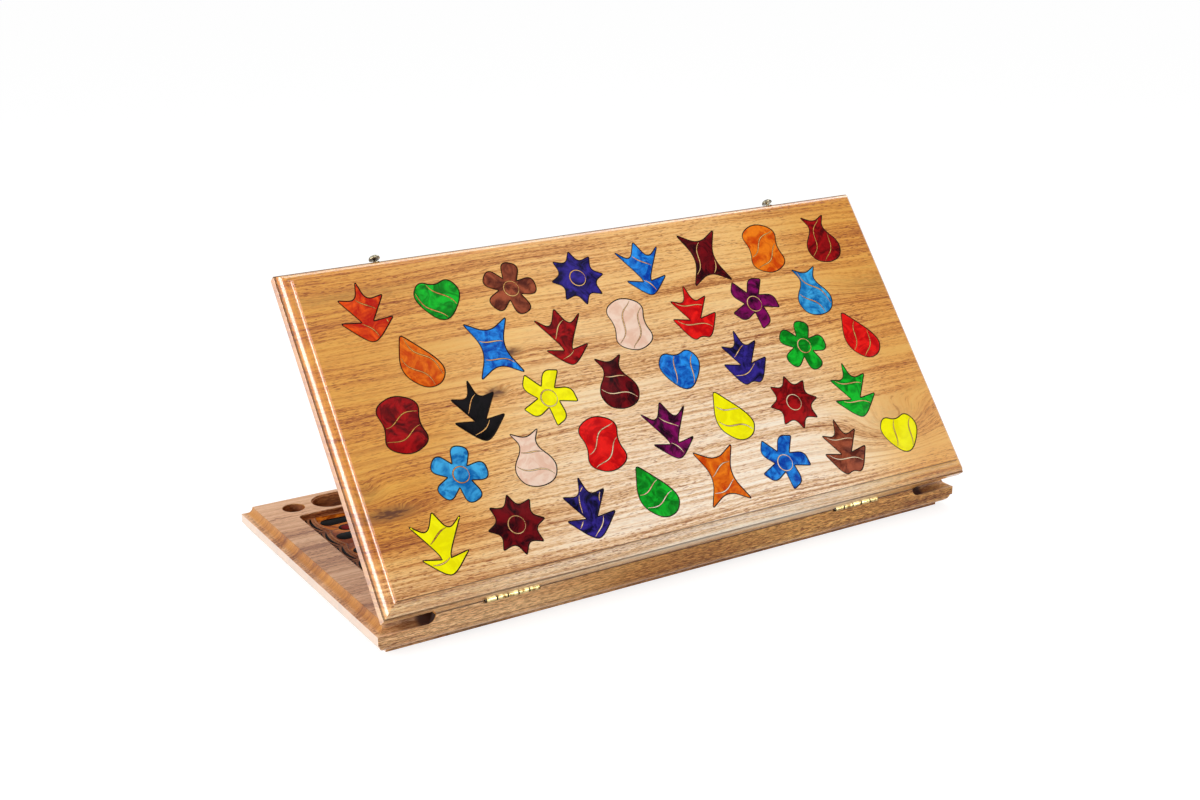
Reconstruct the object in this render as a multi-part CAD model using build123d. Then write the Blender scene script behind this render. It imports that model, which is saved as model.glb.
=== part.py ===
from build123d import *
import math
import os

# Folding backgammon board of solid wood: two moulded halves on brass butt hinges, resin inlays in the lid.
# Millimetres. +X runs along the hinge, -Y is the hinge side, +Z is up, and the origin is the centre of
# the lower half's flat base. Each half is first drawn face up with its mating face at z = 0, the wood
# reaching down to z = -HALF_THICKNESS, and is then moved to its place.

# The two halves
BOARD_LENGTH = 600.0
BOARD_WIDTH = 300.0
HALF_THICKNESS = 28.0
CLOSED_GAP = 0.5
LID_REST_ANGLE = 51.2

# Moulding round each half, from the mating face to the outer face
EDGE_COVE_RADIUS = 8.0
HINGE_COVE_LENGTH = 43.0
QUIRK_DEPTH = 1.5
QUIRK_HEIGHT = 1.0
BEAD_RUN = 5.5
BEAD_RISE = 6.5
BEAD_BULGE = 1.1
RIM_COVE_RUN = 3.8
RIM_COVE_RISE = 2.5
RIM_COVE_DIP = 0.9
RIM_STEP = 2.0

# Playing field with six points at each short end
FIELD_END_MARGIN = 35.5
FIELD_HINGE_MARGIN = 30.5
FIELD_CORNER_RADIUS = 4.5
FIELD_DEPTH = 5.0
POINTS_PER_END = 6
POINT_PITCH = 36.33
SPEAR_START = 14.0
SPEAR_RADIUS = 7.5
SPEAR_LENGTH = 176.0
PETAL_START = 24.0
PETAL_RADIUS = 6.0
PETAL_LENGTH = 96.0
POINT_INLAY_DEPTH = 1.5

# Checker channel and dice holes along the free side
CHANNEL_WIDTH = 33.0
CHANNEL_EDGE_DISTANCE = 30.5
CHANNEL_END_MARGIN = 58.0
CHANNEL_LEDGE = 1.5
CHANNEL_LEDGE_DEPTH = 1.5
DICE_HOLE_RADIUS = 10.25
DICE_HOLE_DEPTH = 12.0
DICE_HOLE_END_DISTANCE = 39.5

# Resin inlays in the lid's outer face
MOTIF_HEIGHT = 54.0
MOTIF_COLUMNS = 8
MOTIF_ROW_COUNT = 5
MOTIF_END_MARGIN = 28.0
MOTIF_SIDE_MARGIN = 22.5
INLAY_DEPTH = 2.0

# Butt hinges
HINGE_LENGTH = 50.0
HINGE_END_DISTANCE = 120.0
KNUCKLES = 5
KNUCKLE_GAP = 0.2
BARREL_RADIUS = 2.25
PIN_RADIUS = 1.1
PIN_CLEARANCE = 0.05
PIN_SIDE_OFFSET = 0.25
LEAF_WIDTH = 13.0
LEAF_THICKNESS = 1.2
LEAF_CLEARANCE = 0.15
BARREL_CLEARANCE = 0.3
NOTCH_CLEARANCE = 0.15
MORTISE_SLACK = 1.5

# Latch studs on the lid and swing hooks on the lower half
LATCH_END_DISTANCE = 93.0
STUD_STEM_RADIUS = 1.5
STUD_CAP_RADIUS = 5.0
STUD_CAP_HEIGHT = 3.3
STUD_SHANK_DEPTH = 9.0
STUD_CLEARANCE = 0.05
HOOK_THICKNESS = 1.2
HOOK_WIDTH = 5.0
HOOK_EYE_RADIUS = 4.2
HOOK_HEAD_RADIUS = 5.0
HOOK_SLOT_CLEARANCE = 0.35
HOOK_FACE_GAP = 0.1
HOOK_STAND_OFF = 1.2
PIVOT_HEAD_RADIUS = 3.3
PIVOT_HEAD_HEIGHT = 1.6
CAP_FACE_GAP = 0.4

# Places worked out from the sizes above
HALF_LENGTH = BOARD_LENGTH / 2
HALF_WIDTH = BOARD_WIDTH / 2
QUIRK_LEVEL = HALF_THICKNESS - RIM_STEP - RIM_COVE_RISE - BEAD_RISE - QUIRK_HEIGHT
STRIP_MIDDLE = (EDGE_COVE_RADIUS + QUIRK_LEVEL) / 2
FIELD_LENGTH = BOARD_LENGTH - 2 * FIELD_END_MARGIN
FIELD_WIDTH = POINTS_PER_END * POINT_PITCH
FIELD_MIDDLE = -HALF_WIDTH + FIELD_HINGE_MARGIN + FIELD_WIDTH / 2
CHANNEL_LINE = HALF_WIDTH - CHANNEL_EDGE_DISTANCE
CHANNEL_LENGTH = BOARD_LENGTH - 2 * CHANNEL_END_MARGIN
GROOVE_RADIUS = CHANNEL_WIDTH / 2 - CHANNEL_LEDGE
MOTIF_COLUMN_PITCH = (BOARD_LENGTH - 2 * MOTIF_END_MARGIN) / MOTIF_COLUMNS
MOTIF_ROW_PITCH = (BOARD_WIDTH - 2 * MOTIF_SIDE_MARGIN) / MOTIF_ROW_COUNT
HINGE_X = HALF_LENGTH - HINGE_END_DISTANCE
PIN_Y = -HALF_WIDTH - PIN_SIDE_OFFSET
PIN_LIFT = CLOSED_GAP / 2
LATCH_X = HALF_LENGTH - LATCH_END_DISTANCE
HOOK_REACH = CLOSED_GAP + 2 * STRIP_MIDDLE
HOOK_FACE = HOOK_STAND_OFF + HOOK_FACE_GAP
CUT_MARGIN = 1.0


def bulged_face(corners):
    """Closed face through counterclockwise (x, y, bulge) corners; a bulge is the outward rise of an arc."""
    edges = []
    for (x0, y0, bulge), (x1, y1, _) in zip(corners, corners[1:] + corners[:1]):
        start = Vector(x0, y0)
        end = Vector(x1, y1)
        if bulge == 0:
            edges.append(Line(start, end))
        else:
            run = end - start
            outward = Vector(run.Y, -run.X).normalized()
            edges.append(ThreePointArc(start, (start + end) / 2 + outward * bulge, end))
    return make_face(edges)


def along_x(radius, length):
    """Cylinder lying along X."""
    return Rot(0, 90, 0) * Cylinder(radius, length)


def along_y(radius, start, end):
    """Cylinder along Y between two distances."""
    return Pos(0, (start + end) / 2, 0) * Rot(90, 0, 0) * Cylinder(radius, end - start)


# Halves

def moulding_cutter(run_length):
    """What a moulding plane takes off an outer edge that runs along Y, at the +X side of x = 0."""
    out = CUT_MARGIN
    bead_foot = QUIRK_LEVEL + QUIRK_HEIGHT
    bead_top = bead_foot + BEAD_RISE
    bead_end = QUIRK_DEPTH + BEAD_RUN
    cove_end = bead_end + RIM_COVE_RUN
    face = bulged_face([
        (out, -QUIRK_LEVEL, 0),
        (-QUIRK_DEPTH, -QUIRK_LEVEL, 0),
        (-QUIRK_DEPTH, -bead_foot, -BEAD_BULGE),
        (-bead_end, -bead_top, RIM_COVE_DIP),
        (-cove_end, -bead_top - RIM_COVE_RISE, 0),
        (-cove_end, -HALF_THICKNESS - out, 0),
        (out, -HALF_THICKNESS - out, 0),
    ])
    profile = Plane.XZ * face
    return extrude(profile, amount=run_length / 2 + out, both=True)


def edge_coves():
    """Hollows along the mating edge: full length on three sides, stopped ones on the hinge side."""
    coves = Pos(0, HALF_WIDTH, 0) * along_x(EDGE_COVE_RADIUS, BOARD_LENGTH + CUT_MARGIN)
    end_cove = Rot(90, 0, 0) * Cylinder(EDGE_COVE_RADIUS, BOARD_WIDTH + CUT_MARGIN)
    across = along_y(EDGE_COVE_RADIUS, -EDGE_COVE_RADIUS, EDGE_COVE_RADIUS)
    round_stop = across & along_x(EDGE_COVE_RADIUS, 2 * EDGE_COVE_RADIUS)
    for side in (-1, 1):
        coves += Pos(side * HALF_LENGTH, 0, 0) * end_cove
        middle = side * (HALF_LENGTH - HINGE_COVE_LENGTH / 2)
        stop = side * (HALF_LENGTH - HINGE_COVE_LENGTH)
        coves += Pos(middle, -HALF_WIDTH, 0) * along_x(EDGE_COVE_RADIUS, HINGE_COVE_LENGTH)
        coves += Pos(stop, -HALF_WIDTH, 0) * round_stop
    return coves


def moulded_blank():
    """Half of the case with its mitred mouldings, before anything is routed into it."""
    blank = Pos(0, 0, -HALF_THICKNESS / 2) * Box(BOARD_LENGTH, BOARD_WIDTH, HALF_THICKNESS)
    end_cutter = Pos(HALF_LENGTH, 0, 0) * moulding_cutter(BOARD_WIDTH)
    side_cutter = Rot(0, 0, 90) * Pos(HALF_WIDTH, 0, 0) * moulding_cutter(BOARD_LENGTH)
    for cutter in (end_cutter, side_cutter):
        blank -= cutter
        blank -= Rot(0, 0, 180) * cutter
    return blank - edge_coves()


def field_recess():
    """Flat-bottomed recess of the playing field."""
    outline = RectangleRounded(FIELD_LENGTH, FIELD_WIDTH, FIELD_CORNER_RADIUS)
    return Pos(0, FIELD_MIDDLE, -FIELD_DEPTH) * extrude(outline, amount=FIELD_DEPTH + CUT_MARGIN)


def checker_channel():
    """Round-bottomed channel with upright round ends under a shallow ledge."""
    ledge = extrude(SlotOverall(CHANNEL_LENGTH, CHANNEL_WIDTH), amount=CHANNEL_LEDGE_DEPTH + CUT_MARGIN)
    groove_length = CHANNEL_LENGTH - 2 * CHANNEL_LEDGE
    groove_plan = SlotOverall(groove_length, 2 * GROOVE_RADIUS)
    groove = extrude(groove_plan, amount=-GROOVE_RADIUS - CUT_MARGIN)
    groove = groove & along_x(GROOVE_RADIUS, groove_length)
    return Pos(0, CHANNEL_LINE, -CHANNEL_LEDGE_DEPTH) * (ledge + groove)


def dice_holes():
    """Round pockets for dice beyond both ends of the channel."""
    depth = DICE_HOLE_DEPTH + CUT_MARGIN
    hole = Pos(0, 0, CUT_MARGIN - depth / 2) * Cylinder(DICE_HOLE_RADIUS, depth)
    end = HALF_LENGTH - DICE_HOLE_END_DISTANCE
    return Pos(-end, CHANNEL_LINE, 0) * hole + Pos(end, CHANNEL_LINE, 0) * hole


def hinge_mortise():
    """Seat of one leaf and hollow for the barrel, round x = 0."""
    length = HINGE_LENGTH + 2 * MORTISE_SLACK
    depth = LEAF_THICKNESS + CUT_MARGIN
    width = LEAF_WIDTH + LEAF_CLEARANCE + CUT_MARGIN
    seat = Pos(0, width / 2 - CUT_MARGIN - HALF_WIDTH, CUT_MARGIN - depth / 2) * Box(length, width, depth)
    barrel = Pos(0, PIN_Y, PIN_LIFT) * along_x(BARREL_RADIUS + BARREL_CLEARANCE, length)
    return seat + barrel


def routed_half():
    """One half of the case with all that both halves have."""
    half = moulded_blank() - field_recess() - checker_channel() - dice_holes()
    for side in (-1, 1):
        half -= Pos(side * HINGE_X, 0, 0) * hinge_mortise()
    for pocket in spears() + petals():
        half -= pocket
    return half


# Points of the playing field

def pointed_slip(radius, length):
    """Long kite that widens from x = 0 and tapers to a tip along +X."""
    return bulged_face([(0, 0, 0), (radius, -radius, 0), (length, 0, 0), (radius, radius, 0)])


def point_inlays(radius, length, start, lines):
    """Tapering inlays let into the field's floor from both short ends, on the given lines along Y."""
    slip = extrude(pointed_slip(radius, length), amount=-POINT_INLAY_DEPTH)
    left = -HALF_LENGTH + FIELD_END_MARGIN + start
    placed = []
    for y in lines:
        inlay = Pos(left, y, -FIELD_DEPTH) * slip
        placed += [inlay, Rot(0, 0, 180) * Pos(left, -y, -FIELD_DEPTH) * slip]
    return placed


def spears():
    """One long slip on the middle of each point."""
    first = FIELD_MIDDLE - FIELD_WIDTH / 2 + POINT_PITCH / 2
    lines = [first + number * POINT_PITCH for number in range(POINTS_PER_END)]
    return point_inlays(SPEAR_RADIUS, SPEAR_LENGTH, SPEAR_START, lines)


def petals():
    """One shorter slip between each two neighbouring points."""
    first = FIELD_MIDDLE - FIELD_WIDTH / 2 + POINT_PITCH
    lines = [first + number * POINT_PITCH for number in range(POINTS_PER_END - 1)]
    return point_inlays(PETAL_RADIUS, PETAL_LENGTH, PETAL_START, lines)


# Hinges

def hinge_leaf(own_knuckles):
    """Leaf with its share of the knuckles, flush with the mating face, round x = 0."""
    pitch = (HINGE_LENGTH + KNUCKLE_GAP) / KNUCKLES
    plate_width = LEAF_WIDTH + PIN_SIDE_OFFSET
    leaf = Pos(0, PIN_Y + plate_width / 2, -LEAF_THICKNESS / 2)
    leaf = leaf * Box(HINGE_LENGTH, plate_width, LEAF_THICKNESS)
    for number in range(KNUCKLES):
        place = Pos((number - (KNUCKLES - 1) / 2) * pitch, PIN_Y, PIN_LIFT)
        if number in own_knuckles:
            leaf += place * along_x(BARREL_RADIUS, pitch - KNUCKLE_GAP)
        else:
            leaf -= place * along_x(BARREL_RADIUS + NOTCH_CLEARANCE, pitch + KNUCKLE_GAP)
    return leaf - Pos(0, PIN_Y, PIN_LIFT) * along_x(PIN_RADIUS + PIN_CLEARANCE, HINGE_LENGTH + CUT_MARGIN)


def hinge_pin():
    """Pin of one hinge, round x = 0."""
    return Pos(0, PIN_Y, PIN_LIFT) * along_x(PIN_RADIUS, HINGE_LENGTH)


# Latches, drawn round the middle of the side strip, with the case's side face at y = 0

def headed_pin(head_radius, head_foot, head_height):
    """Pin that stands in the wood, with a flat head."""
    stem = along_y(STUD_STEM_RADIUS, -STUD_SHANK_DEPTH, head_foot)
    return stem + along_y(head_radius, head_foot, head_foot + head_height)


def latch_stud():
    """Capped stud of the lid."""
    return headed_pin(STUD_CAP_RADIUS, HOOK_FACE + HOOK_THICKNESS + CAP_FACE_GAP, STUD_CAP_HEIGHT)


def hook_pivot():
    """Screw that the hook swings on."""
    return headed_pin(PIVOT_HEAD_RADIUS, HOOK_FACE + HOOK_THICKNESS + HOOK_FACE_GAP, PIVOT_HEAD_HEIGHT)


def stud_hole():
    """Hole in the wood for a stud or a hook's pivot screw."""
    return along_y(STUD_STEM_RADIUS + STUD_CLEARANCE, -STUD_SHANK_DEPTH - STUD_CLEARANCE, CUT_MARGIN)


def swing_hook():
    """Flat hook that lies along +X and takes the stud's stem in a slot that opens upwards."""
    half = HOOK_WIDTH / 2
    slot = STUD_STEM_RADIUS + HOOK_SLOT_CLEARANCE
    mouth = slot + HOOK_REACH - math.sqrt(HOOK_REACH ** 2 - HOOK_HEAD_RADIUS ** 2)
    nose = HOOK_REACH + HOOK_HEAD_RADIUS
    blade = make_face(Polyline([
        (0, -half), (HOOK_REACH - slot, -HOOK_HEAD_RADIUS), (HOOK_REACH + slot, -HOOK_HEAD_RADIUS),
        (nose, -half), (nose, HOOK_HEAD_RADIUS), (HOOK_REACH - HOOK_HEAD_RADIUS, HOOK_HEAD_RADIUS),
        (HOOK_REACH - 2 * HOOK_HEAD_RADIUS, half), (0, half),
    ], close=True))
    opening = make_face(Polyline([
        (HOOK_REACH - slot, 0), (HOOK_REACH + slot, 0), (HOOK_REACH + slot, HOOK_HEAD_RADIUS + CUT_MARGIN),
        (HOOK_REACH - mouth, HOOK_HEAD_RADIUS + CUT_MARGIN),
    ], close=True))
    outline = Circle(HOOK_EYE_RADIUS) + blade - opening - Pos(HOOK_REACH, 0) * Circle(slot)
    outline -= Circle(STUD_STEM_RADIUS + PIN_CLEARANCE)
    return Pos(0, HOOK_FACE + HOOK_THICKNESS, 0) * Rot(90, 0, 0) * extrude(outline, amount=HOOK_THICKNESS)


# Motifs of the lid's inlays, in hundredths of MOTIF_HEIGHT round their own middle

def motif_face(corners):
    """Closed straight-sided outline at its real size."""
    unit = MOTIF_HEIGHT / 100
    return bulged_face([(x * unit, y * unit, 0) for x, y in corners])


def mirrored(right_half):
    """Closes a right-hand outline, listed upwards along the middle line, by its mirror image."""
    return motif_face(right_half + [(-x, y) for x, y in right_half[-2:0:-1]])


def turned(arm, count):
    """Repeats one arm's corners evenly round the middle."""
    corners = []
    for number in range(count):
        cosine = math.cos(2 * math.pi * number / count)
        sine = math.sin(2 * math.pi * number / count)
        corners += [(x * cosine - y * sine, x * sine + y * cosine) for x, y in arm]
    return motif_face(corners)


def rosette():
    return turned([(27, -11), (48, 0)], 8)


def pinwheel():
    return turned([(15, -10), (47, -17), (44, 8)], 5)


def flower():
    return turned([(15, -11), (46, -16), (46, 16)], 5)


def medallion():
    return mirrored([(0, -50), (38, -32), (26, 0), (38, 32), (0, 50)])


def tulip():
    return mirrored([(0, -50), (7, -50), (38, -20), (7, -26), (9, -16), (42, 34), (17, 14), (0, 48)])


def paisley():
    return motif_face([(-6, -46), (26, -40), (38, -10), (8, 20), (-20, 48), (-40, -12)])


def sprig():
    return mirrored([(0, -50), (8, -50), (43, -14), (8, -18), (37, 24), (8, 18), (0, 50)])


def pomegranate():
    return mirrored([(0, -46), (28, -38), (38, -10), (10, 22), (24, 46), (0, 34)])


def heart():
    return mirrored([(0, -46), (44, 6), (26, 36), (0, 24)])


def tree():
    return mirrored([(0, -42), (18, -50), (43, -6), (9, -13), (35, 26), (9, 17), (0, 50)])


def hourglass():
    return mirrored([(0, -26), (38, -48), (14, 0), (38, 48), (0, 26)])


MOTIF_ROWS = [
    [(tulip, "yellow"), (rosette, "maroon"), (sprig, "indigo"), (paisley, "green"),
     (hourglass, "orange"), (pinwheel, "blue"), (tree, "brown"), (heart, "yellow")],
    [(flower, "cyan"), (pomegranate, "pink"), (medallion, "red"), (tulip, "purple"),
     (paisley, "yellow"), (rosette, "dark_red"), (sprig, "green")],
    [(medallion, "dark_red"), (sprig, "black"), (pinwheel, "yellow"), (pomegranate, "maroon"),
     (heart, "blue"), (tree, "indigo"), (flower, "green"), (paisley, "red")],
    [(paisley, "orange"), (hourglass, "blue"), (tulip, "dark_red"), (medallion, "pink"),
     (tree, "red"), (pinwheel, "purple"), (pomegranate, "cyan")],
    [(sprig, "red_orange"), (heart, "green"), (flower, "brown"), (rosette, "indigo"),
     (tulip, "blue"), (hourglass, "maroon"), (medallion, "orange"), (pomegranate, "dark_red")],
]


def lid_inlays():
    """Faces of the lid's inlays with their colours, in the plane of the closed lid's outer face."""
    placed = []
    for row, motifs in enumerate(MOTIF_ROWS):
        y = (row - (MOTIF_ROW_COUNT - 1) / 2) * MOTIF_ROW_PITCH
        for column, (motif, colour) in enumerate(motifs):
            x = (column - (len(motifs) - 1) / 2) * MOTIF_COLUMN_PITCH
            placed.append((colour, Pos(x, y) * motif()))
    return placed


# Assembly

def to_lower(shape):
    """Moves a half drawn face up to the lower half's place."""
    return Pos(0, 0, HALF_THICKNESS) * shape


def open_lid(shape):
    """Turns a shape of the closed lid about the hinge line to the rest angle."""
    pin = Pos(0, PIN_Y, HALF_THICKNESS + PIN_LIFT)
    return pin * Rot(LID_REST_ANGLE, 0, 0) * Pos(0, -PIN_Y, -HALF_THICKNESS - PIN_LIFT) * shape


def to_upper(shape):
    """Moves a half drawn face up to the open lid's place, as the mirror image of the lower half."""
    return open_lid(Pos(0, 0, HALF_THICKNESS + CLOSED_GAP) * mirror(shape, about=Plane.XY))


def on_free_side(shape, side, height):
    """Puts a latch piece on the free side at the left (-1) or right (1) latch."""
    return Pos(side * LATCH_X, HALF_WIDTH, height) * shape


def write(name, *solids):
    """Writes one node; several solids stay separate in it."""
    shape = solids[0] if len(solids) == 1 else Compound(children=list(solids))
    export_step(shape, f"parts/{name}.step")


def write_halves():
    half = routed_half()
    lower_latch = HALF_THICKNESS - STRIP_MIDDLE
    upper_latch = HALF_THICKNESS + CLOSED_GAP + STRIP_MIDDLE
    lower = to_lower(half)
    upper = Pos(0, 0, HALF_THICKNESS + CLOSED_GAP) * mirror(half, about=Plane.XY)
    for side in (-1, 1):
        lower -= on_free_side(stud_hole(), side, lower_latch)
        upper -= on_free_side(stud_hole(), side, upper_latch)
    outer_face = 2 * HALF_THICKNESS + CLOSED_GAP
    coloured = {}
    for colour, face in lid_inlays():
        inlay = Pos(0, 0, outer_face) * extrude(face, amount=-INLAY_DEPTH)
        upper -= inlay
        coloured.setdefault(colour, []).append(open_lid(inlay))
    write("lower_board", lower)
    write("upper_board", open_lid(upper))
    for colour, solids in coloured.items():
        write(f"inlays_{colour}", *solids)


def write_points():
    for name, place in (("lower", to_lower), ("upper", to_upper)):
        write(f"{name}_point_spears", *[place(inlay) for inlay in spears()])
        write(f"{name}_point_petals", *[place(inlay) for inlay in petals()])


def write_hinges():
    lower_leaf = hinge_leaf(range(0, KNUCKLES, 2))
    upper_leaf = hinge_leaf(range(1, KNUCKLES, 2))
    for side, name in ((-1, "left"), (1, "right")):
        place = Pos(side * HINGE_X, 0, 0)
        write(f"hinge_{name}_lower_leaf", to_lower(place * lower_leaf))
        write(f"hinge_{name}_upper_leaf", to_upper(place * upper_leaf))
        write(f"hinge_{name}_pin", to_lower(place * hinge_pin()))


def write_latches():
    lower_latch = HALF_THICKNESS - STRIP_MIDDLE
    upper_latch = HALF_THICKNESS + CLOSED_GAP + STRIP_MIDDLE
    for side, name in ((-1, "left"), (1, "right")):
        write(f"latch_stud_{name}", open_lid(on_free_side(latch_stud(), side, upper_latch)))
        hook = swing_hook() if side < 0 else mirror(swing_hook(), about=Plane.YZ)
        write(f"hook_{name}", on_free_side(hook, side, lower_latch))
        write(f"hook_pivot_{name}", on_free_side(hook_pivot(), side, lower_latch))


os.makedirs("parts", exist_ok=True)
write_halves()
write_points()
write_hinges()
write_latches()
print("pin axis y", PIN_Y, "z", HALF_THICKNESS + PIN_LIFT, "hook pivot z", HALF_THICKNESS - STRIP_MIDDLE)
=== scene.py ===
import math
from itertools import groupby

import bmesh
import bpy
from mathutils import Matrix, Vector
from mathutils.geometry import delaunay_2d_cdt


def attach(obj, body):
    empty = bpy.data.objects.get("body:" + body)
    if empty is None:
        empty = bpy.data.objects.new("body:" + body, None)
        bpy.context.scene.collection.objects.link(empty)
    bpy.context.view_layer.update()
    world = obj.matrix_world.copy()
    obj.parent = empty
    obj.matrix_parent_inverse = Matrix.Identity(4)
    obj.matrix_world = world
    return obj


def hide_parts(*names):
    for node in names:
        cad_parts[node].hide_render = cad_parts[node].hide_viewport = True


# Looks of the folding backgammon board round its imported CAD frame. Metres, in the CAD's row frame: +X along
# the hinge, -Y the hinge side, +Z up. Each half is worked on face up, with its mating face at z = 0 and its
# outer face at z = -THICKNESS, as the CAD draws it, and is then moved to its place.

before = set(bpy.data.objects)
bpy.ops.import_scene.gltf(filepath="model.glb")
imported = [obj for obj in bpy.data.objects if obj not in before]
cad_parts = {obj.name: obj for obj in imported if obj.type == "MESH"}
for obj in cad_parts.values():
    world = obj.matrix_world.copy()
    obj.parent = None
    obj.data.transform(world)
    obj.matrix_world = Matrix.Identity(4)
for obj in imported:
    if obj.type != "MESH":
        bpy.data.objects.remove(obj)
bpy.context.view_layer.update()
MM = 0.001

# Sizes of the CAD model that the pieces follow
THICKNESS = 28 * MM
CLOSED_GAP = 0.5 * MM
REST_ANGLE = math.radians(51.2)
PIN = Vector((0, -150.25 * MM, 28.25 * MM))
HALF_LENGTH = 300 * MM
HALF_WIDTH = 150 * MM
RIM_INSET = 10.8 * MM
FIELD_DEPTH = 5 * MM
FIELD_END_WALL = HALF_LENGTH - 35.5 * MM
FIELD_HINGE_WALL = -HALF_WIDTH + 30.5 * MM
POINT_PITCH = 36.33 * MM
POINTS_PER_END = 6
COVE_STOP = HALF_LENGTH - 43 * MM
HINGE_X = 180 * MM
LEAF_MIDDLE = -142 * MM
LID_TOP = 2 * THICKNESS + CLOSED_GAP
KNUCKLE_PITCH = 10.04 * MM
LATCH_X = 207 * MM
LATCH_DEPTH = 12 * MM
MATING_FACE = {"base": THICKNESS, "lid": THICKNESS + CLOSED_GAP}
QUIRK_MIDDLE = {"base": THICKNESS - 16.5 * MM, "lid": THICKNESS + CLOSED_GAP + 16.5 * MM}
STRIP_EDGE = {"base": THICKNESS - 8.5 * MM, "lid": QUIRK_MIDDLE["lid"] - 0.5 * MM}

LID_TURN = Matrix.Translation(PIN) @ Matrix.Rotation(REST_ANGLE, 4, "X") @ Matrix.Translation(-PIN)
UPPER = LID_TURN @ Matrix.Translation((0, 0, MATING_FACE["lid"])) @ Matrix.Diagonal((1, 1, -1, 1))
PLACES = {"base": Matrix.Translation((0, 0, THICKNESS)), "lid": UPPER}


# Materials

FADE = 1 * MM


class Shader:
    """Node material with short calls for the nodes used here."""

    def __init__(self, name):
        self.material = bpy.data.materials.new(name)
        self.material.use_nodes = True
        self.tree = self.material.node_tree
        self.surface = self.tree.nodes["Principled BSDF"]

    def put(self, socket, value):
        if isinstance(value, bpy.types.NodeSocket):
            self.tree.links.new(value, socket)
        else:
            socket.default_value = value

    def add(self, kind, inputs=None, **settings):
        node = self.tree.nodes.new(kind)
        for key, value in settings.items():
            setattr(node, key, value)
        for key, value in (inputs or {}).items():
            self.put(node.inputs[key], value)
        return node

    def math(self, operation, first, second=0.0):
        return self.add("ShaderNodeMath", {0: first, 1: second}, operation=operation).outputs[0]

    def chain(self, operation, values):
        result = values[0]
        for value in values[1:]:
            result = self.math(operation, result, value)
        return result

    def total(self, *values):
        return self.chain("ADD", values)

    def times(self, *values):
        return self.chain("MULTIPLY", values)

    def most(self, *values):
        return self.chain("MAXIMUM", values)

    def minus(self, first, second):
        return self.math("SUBTRACT", first, second)

    def size(self, value):
        return self.math("ABSOLUTE", value)

    def vector(self, x, y, z):
        return self.add("ShaderNodeCombineXYZ", {0: x, 1: y, 2: z}).outputs[0]

    def split(self, vector):
        return self.add("ShaderNodeSeparateXYZ", {0: vector}).outputs

    def normal(self):
        return self.add("ShaderNodeTexCoord").outputs["Normal"]

    def noise(self, vector, detail=2.0, roughness=0.5, scale=1.0, distortion=0.0):
        inputs = {"Vector": vector, "Scale": scale, "Detail": detail, "Roughness": roughness}
        return self.add("ShaderNodeTexNoise", {**inputs, "Distortion": distortion}).outputs["Fac"]

    def step(self, value, start, end):
        """0 at the start value, 1 at the end value, smooth between, either way round."""
        inputs = {"Value": value, "From Min": start, "From Max": end, "To Min": 0.0, "To Max": 1.0}
        return self.add("ShaderNodeMapRange", inputs, interpolation_type="SMOOTHSTEP").outputs[0]

    def beyond(self, value, limit, fade=FADE):
        """1 above a limit, 0 a fade below it."""
        return self.step(value, limit - fade, limit)

    def below(self, value, limit, fade=FADE):
        """1 below a limit, 0 a fade above it."""
        return self.step(value, limit + fade, limit)

    def between(self, value, low, high, fade=FADE):
        return self.times(self.beyond(value, low, fade), self.below(value, high, fade))

    def ramp(self, value, *stops):
        node = self.add("ShaderNodeValToRGB", {0: value})
        elements = node.color_ramp.elements
        while len(elements) < len(stops):
            elements.new(0.5)
        for element, (position, colour) in zip(elements, stops):
            element.position = position
            element.color = (*colour, 1)
        return node.outputs[0]

    def mix(self, factor, first, second, blend="MIX"):
        node = self.add("ShaderNodeMix", data_type="RGBA", blend_type=blend)
        self.put(node.inputs[0], factor)
        for socket, value in ((node.inputs[6], first), (node.inputs[7], second)):
            self.put(socket, (*value, 1) if isinstance(value, tuple) else value)
        return node.outputs[2]

    def tint(self, factor, colour, by):
        """Colour multiplied by another one as far as the factor says."""
        return self.mix(factor, colour, by, "MULTIPLY")

    def bump(self, height, distance, strength):
        node = self.add("ShaderNodeBump", {"Height": height, "Distance": distance, "Strength": strength})
        self.put(self.surface.inputs["Normal"], node.outputs[0])

    def finish(self, **inputs):
        """Sets inputs of the surface by name, with _ for a space."""
        for key, value in inputs.items():
            value = (*value, 1) if isinstance(value, tuple) else value
            self.put(self.surface.inputs[key.replace("_", " ")], value)
        return self.material


def srgb(red, green, blue):
    """Linear colour of an sRGB one given in 0 to 255."""
    shares = (channel / 255 for channel in (red, green, blue))
    return tuple(((s + 0.055) / 1.055) ** 2.4 if s > 0.04045 else s / 12.92 for s in shares)


def half_coordinates(shader, body):
    """Object coordinates, with the lid turned back to its closed place."""
    place = shader.add("ShaderNodeTexCoord").outputs["Object"]
    if body == "base":
        return place
    back = {"Vector": place, "Rotation": (-REST_ANGLE, 0, 0), "Location": LID_TURN.inverted().translation}
    return shader.add("ShaderNodeMapping", back).outputs[0]


# Noise of the grain in cycles per metre, along X and across it
SWAY = (2.2, 7.0)
BANDS = (2.4, 48.0)
RING_FADING = (6.0, 30.0)
GOLD_DRIFT = (5.0, 16.0)
KNOT_EDGE = (120.0, 420.0)
STREAKS = (4.5, 420.0, 90.0)
SPECKS = (130.0, 900.0, 900.0)
RINGS = 115.0
FIBRES = 1900.0
PORES = 1300.0
FIBRE_STRETCH = 0.12

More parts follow.
